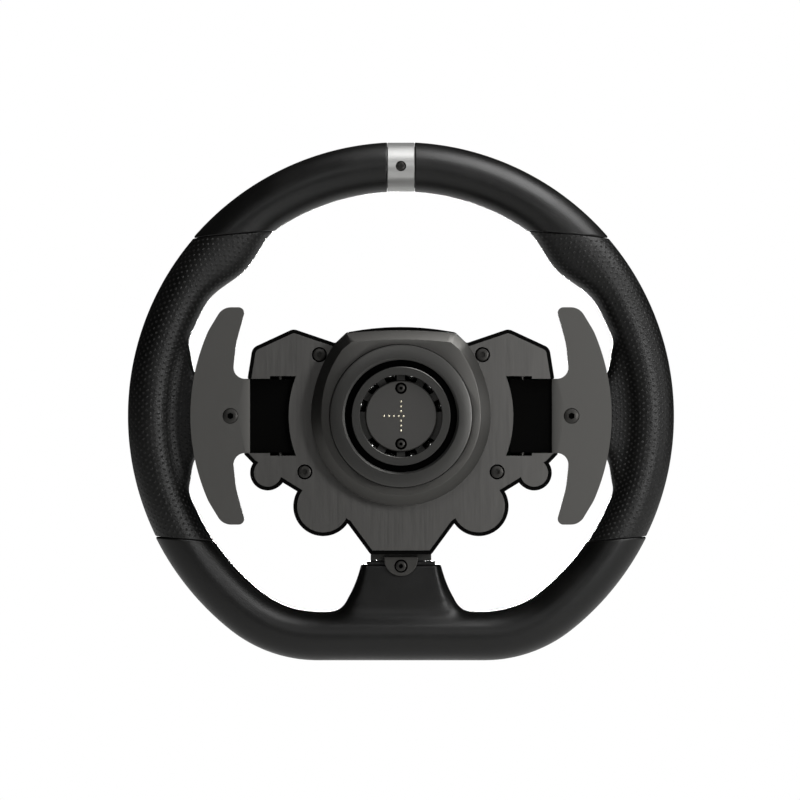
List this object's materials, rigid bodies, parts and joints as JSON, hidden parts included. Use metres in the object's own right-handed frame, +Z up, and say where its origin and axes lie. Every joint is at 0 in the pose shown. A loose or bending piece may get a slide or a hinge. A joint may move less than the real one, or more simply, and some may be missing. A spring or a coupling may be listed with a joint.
{
  "type": "racing wheel",
  "caption": "Detachable D-shaped steering wheel for a driving simulator, with leather grips, pull paddles behind the rim and a quick-release hub.",
  "frame": {"origin": "on the spin axis, at the rear face of the quick-release sleeve, where the wheel meets its wheelbase", "axes": "+Y runs along the spin axis to the driver, so the rear with the paddles faces -Y; +Z up to the rim's top; +X to the right as seen from the rear"},
  "size_m": [0.2896, 0.0686, 0.2742],
  "materials": {
    "casting": "rough cast aluminium",
    "foam": "firm moulded foam",
    "smooth_leather": "smooth black leather, satin",
    "perforated_leather": "black leather with fine perforations",
    "silver_band": "satin silver",
    "black_screw": "black oxide",
    "paddle_metal": "dark anodised, brushed along its length",
    "black_plastic": "matte black",
    "bright_steel": "polished steel",
    "button_plastic": "gloss black",
    "brushed_metal": "dark anodised, brushed upright",
    "board": "green solder mask",
    "anodised_metal": "dark anodised, satin",
    "contact_plastic": "dark grey, matte",
    "contact_gold": "gold plated"
  },
  "bodies": {
    "wheel": {"rim_armature": "casting", "rim_foam": "foam", "rim_top_right": "smooth_leather", "rim_top_left": "smooth_leather", "rim_bottom": "smooth_leather", "grip_right": "perforated_leather", "grip_left": "perforated_leather", "centre_band": "silver_band", "band_screw": "black_screw", "lug_screw": "black_screw", "contact_screw_upper": "black_screw", "contact_screw_lower": "black_screw", "plate_screw_upper_right": "black_screw", "plate_screw_lower_right": "black_screw", "paddle_switch_right": "black_plastic", "encoder_right": "black_plastic", "paddle_magnet_right": "bright_steel", "hinge_pin_right": "black_screw", "plate_screw_upper_left": "black_screw", "plate_screw_lower_left": "black_screw", "paddle_switch_left": "black_plastic", "encoder_left": "black_plastic", "paddle_magnet_left": "bright_steel", "hinge_pin_left": "black_screw", "rear_plate": "brushed_metal", "hub_body": "black_plastic", "front_bezel": "black_plastic", "centre_cap": "button_plastic", "main_board": "board", "spoke_lug": "anodised_metal", "release_boss": "anodised_metal", "release_sleeve": "anodised_metal", "collar_spring": "bright_steel", "contact_block": "contact_plastic", "contact_pins": "contact_gold"},
    "paddle_right": {"paddle_plate_right": "paddle_metal", "paddle_arm_right": "black_plastic", "paddle_screw_right": "black_screw"},
    "paddle_left": {"paddle_plate_left": "paddle_metal", "paddle_arm_left": "black_plastic", "paddle_screw_left": "black_screw"},
    "release_collar": {"release_collar": "anodised_metal"},
    "button_upper_right": {"button_upper_right": "button_plastic"},
    "button_outer_right": {"button_outer_right": "button_plastic"},
    "button_lower_right": {"button_lower_right": "button_plastic"},
    "dial_right": {"dial_right": "black_plastic"},
    "button_upper_left": {"button_upper_left": "button_plastic"},
    "button_outer_left": {"button_outer_left": "button_plastic"},
    "button_lower_left": {"button_lower_left": "button_plastic"},
    "dial_left": {"dial_left": "black_plastic"},
    "lock_ball_01": {"lock_ball_01": "bright_steel"},
    "lock_ball_02": {"lock_ball_02": "bright_steel"},
    "lock_ball_03": {"lock_ball_03": "bright_steel"},
    "lock_ball_04": {"lock_ball_04": "bright_steel"},
    "lock_ball_05": {"lock_ball_05": "bright_steel"},
    "lock_ball_06": {"lock_ball_06": "bright_steel"},
    "lock_ball_07": {"lock_ball_07": "bright_steel"},
    "lock_ball_08": {"lock_ball_08": "bright_steel"},
    "lock_ball_09": {"lock_ball_09": "bright_steel"},
    "lock_ball_10": {"lock_ball_10": "bright_steel"}
  },
  "joints": [
    {"name": "paddle_pull_right", "type": "hinge", "parent": "wheel", "child": "paddle_right", "pos_m": [0.064, 0.032, 0], "axis": [0, 0, 1], "range_deg": [0, 4.5], "stiffness_Nm_per_rad": 1, "springref_deg": -8.59},
    {"name": "paddle_pull_left", "type": "hinge", "parent": "wheel", "child": "paddle_left", "pos_m": [-0.064, 0.032, 0], "axis": [0, 0, -1], "range_deg": [0, 4.5], "stiffness_Nm_per_rad": 1, "springref_deg": -8.59},
    {"name": "collar_slide", "type": "slide", "parent": "wheel", "child": "release_collar", "axis": [0, 1, 0], "range_m": [0, 0.004], "stiffness_N_per_m": 2500, "springref_m": -0.004, "deforming": ["collar_spring"]},
    {"name": "button_upper_right_press", "type": "slide", "parent": "wheel", "child": "button_upper_right", "axis": [0, -1, 0], "range_m": [0, 0.0009], "stiffness_N_per_m": 1500, "springref_m": -0.0008},
    {"name": "button_outer_right_press", "type": "slide", "parent": "wheel", "child": "button_outer_right", "axis": [0, -1, 0], "range_m": [0, 0.0009], "stiffness_N_per_m": 1500, "springref_m": -0.0008},
    {"name": "button_lower_right_press", "type": "slide", "parent": "wheel", "child": "button_lower_right", "axis": [0, -1, 0], "range_m": [0, 0.0009], "stiffness_N_per_m": 1500, "springref_m": -0.0008},
    {"name": "dial_right_turn", "type": "hinge", "parent": "wheel", "child": "dial_right", "pos_m": [0.041, 0.06, -0.0476], "axis": [0, 1, 0], "continuous": true},
    {"name": "button_upper_left_press", "type": "slide", "parent": "wheel", "child": "button_upper_left", "axis": [0, -1, 0], "range_m": [0, 0.0009], "stiffness_N_per_m": 1500, "springref_m": -0.0008},
    {"name": "button_outer_left_press", "type": "slide", "parent": "wheel", "child": "button_outer_left", "axis": [0, -1, 0], "range_m": [0, 0.0009], "stiffness_N_per_m": 1500, "springref_m": -0.0008},
    {"name": "button_lower_left_press", "type": "slide", "parent": "wheel", "child": "button_lower_left", "axis": [0, -1, 0], "range_m": [0, 0.0009], "stiffness_N_per_m": 1500, "springref_m": -0.0008},
    {"name": "dial_left_turn", "type": "hinge", "parent": "wheel", "child": "dial_left", "pos_m": [-0.041, 0.06, -0.0476], "axis": [0, 1, 0], "continuous": true},
    {"name": "lock_ball_01_slide", "type": "slide", "parent": "wheel", "child": "lock_ball_01", "axis": [0.9659, 0, 0.2588], "range_m": [0, 0.0005]},
    {"name": "lock_ball_02_slide", "type": "slide", "parent": "wheel", "child": "lock_ball_02", "axis": [0.7071, 0, 0.7071], "range_m": [0, 0.0005]},
    {"name": "lock_ball_03_slide", "type": "slide", "parent": "wheel", "child": "lock_ball_03", "axis": [0.2588, 0, 0.9659], "range_m": [0, 0.0005]},
    {"name": "lock_ball_04_slide", "type": "slide", "parent": "wheel", "child": "lock_ball_04", "axis": [-0.2588, 0, 0.9659], "range_m": [0, 0.0005]},
    {"name": "lock_ball_05_slide", "type": "slide", "parent": "wheel", "child": "lock_ball_05", "axis": [-0.7071, 0, 0.7071], "range_m": [0, 0.0005]},
    {"name": "lock_ball_06_slide", "type": "slide", "parent": "wheel", "child": "lock_ball_06", "axis": [-0.9659, 0, 0.2588], "range_m": [0, 0.0005]},
    {"name": "lock_ball_07_slide", "type": "slide", "parent": "wheel", "child": "lock_ball_07", "axis": [-0.7071, 0, -0.7071], "range_m": [0, 0.0005]},
    {"name": "lock_ball_08_slide", "type": "slide", "parent": "wheel", "child": "lock_ball_08", "axis": [-0.2588, 0, -0.9659], "range_m": [0, 0.0005]},
    {"name": "lock_ball_09_slide", "type": "slide", "parent": "wheel", "child": "lock_ball_09", "axis": [0.2588, 0, -0.9659], "range_m": [0, 0.0005]},
    {"name": "lock_ball_10_slide", "type": "slide", "parent": "wheel", "child": "lock_ball_10", "axis": [0.7071, 0, -0.7071], "range_m": [0, 0.0005]}
  ],
  "couplings": [
    {"joint": "lock_ball_01_slide", "follows": "collar_slide", "ratio": 0.125},
    {"joint": "lock_ball_02_slide", "follows": "collar_slide", "ratio": 0.125},
    {"joint": "lock_ball_03_slide", "follows": "collar_slide", "ratio": 0.125},
    {"joint": "lock_ball_04_slide", "follows": "collar_slide", "ratio": 0.125},
    {"joint": "lock_ball_05_slide", "follows": "collar_slide", "ratio": 0.125},
    {"joint": "lock_ball_06_slide", "follows": "collar_slide", "ratio": 0.125},
    {"joint": "lock_ball_07_slide", "follows": "collar_slide", "ratio": 0.125},
    {"joint": "lock_ball_08_slide", "follows": "collar_slide", "ratio": 0.125},
    {"joint": "lock_ball_09_slide", "follows": "collar_slide", "ratio": 0.125},
    {"joint": "lock_ball_10_slide", "follows": "collar_slide", "ratio": 0.125}
  ]
}
